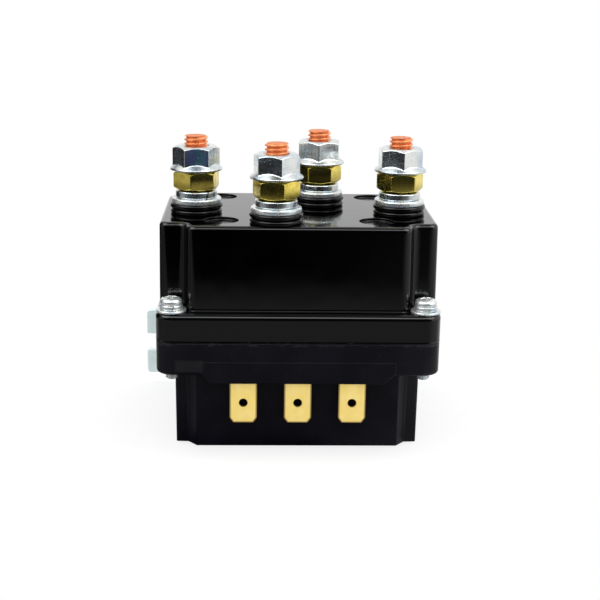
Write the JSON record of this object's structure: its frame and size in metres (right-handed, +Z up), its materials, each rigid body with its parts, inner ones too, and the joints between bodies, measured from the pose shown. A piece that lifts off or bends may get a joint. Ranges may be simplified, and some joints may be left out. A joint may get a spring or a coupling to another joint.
{
  "type": "starter relay",
  "caption": "Reversing contactor in a black two-part case, with copper power studs on top, brass spade tabs in front, a slotted sheet bracket behind and two solenoid armatures inside.",
  "frame": {"origin": "centre of the flat base of the lower housing", "axes": "+Z up along the studs, -Y towards the spade tabs, +X to the right seen from the tabs"},
  "size_m": [0.0782, 0.0515, 0.0715],
  "materials": {
    "cover_plastic": "gloss",
    "housing_plastic": "satin",
    "seal_rubber": "matt",
    "zinc": "bright zinc",
    "bracket_zinc": "satin zinc",
    "yellow_zinc": "yellow passivated zinc",
    "stud_copper": "bright copper",
    "contact_copper": "plain copper",
    "tab_brass": "bright brass",
    "silver": "silver",
    "yoke_iron": "plated soft iron",
    "nylon": "natural nylon",
    "enamel_wire": "enamelled copper wire",
    "laminate": "brown laminate",
    "spring_steel": "spring steel"
  },
  "bodies": {
    "case": {"upper_cover": "cover_plastic", "lower_housing": "housing_plastic", "housing_gasket": "seal_rubber", "mounting_bracket": "bracket_zinc", "case_screws": "zinc", "case_spring_washers": "zinc", "case_flat_washers": "zinc", "stud_left": "stud_copper", "stud_front": "stud_copper", "stud_rear": "stud_copper", "stud_right": "stud_copper", "stud_grommets": "seal_rubber", "stud_flat_washers": "zinc", "stud_spring_washers": "zinc", "stud_hex_nuts": "yellow_zinc", "stud_flange_nuts": "zinc", "spade_tab_left": "tab_brass", "spade_tab_centre": "tab_brass", "spade_tab_right": "tab_brass", "motor_contact_left": "contact_copper", "motor_contact_right": "contact_copper", "battery_bus_lower": "contact_copper", "battery_bus_upper": "contact_copper", "yoke_frames": "yoke_iron", "yoke_top_plates": "yoke_iron", "bobbins": "nylon", "coil_windings": "enamel_wire", "fixed_cores": "yoke_iron", "coil_leads": "enamel_wire", "partition_plate": "laminate", "return_spring_left": "spring_steel", "return_spring_right": "spring_steel"},
    "left_armature": {"plunger_left": "yoke_iron", "push_rod_left": "tab_brass", "contact_carrier_left": "nylon", "contact_bridge_left": "contact_copper", "contact_rivets_left": "silver", "rod_clip_left": "spring_steel"},
    "right_armature": {"plunger_right": "yoke_iron", "push_rod_right": "tab_brass", "contact_carrier_right": "nylon", "contact_bridge_right": "contact_copper", "contact_rivets_right": "silver", "rod_clip_right": "spring_steel"}
  },
  "joints": [
    {"name": "plunger_left_slide", "type": "slide", "parent": "case", "child": "left_armature", "axis": [0, 0, -1], "range_m": [0, 0.0022], "stiffness_N_per_m": 500, "springref_m": -0.004, "deforming": ["return_spring_left"]},
    {"name": "plunger_right_slide", "type": "slide", "parent": "case", "child": "right_armature", "axis": [0, 0, -1], "range_m": [0, 0.0022], "stiffness_N_per_m": 500, "springref_m": -0.004, "deforming": ["return_spring_right"]}
  ]
}
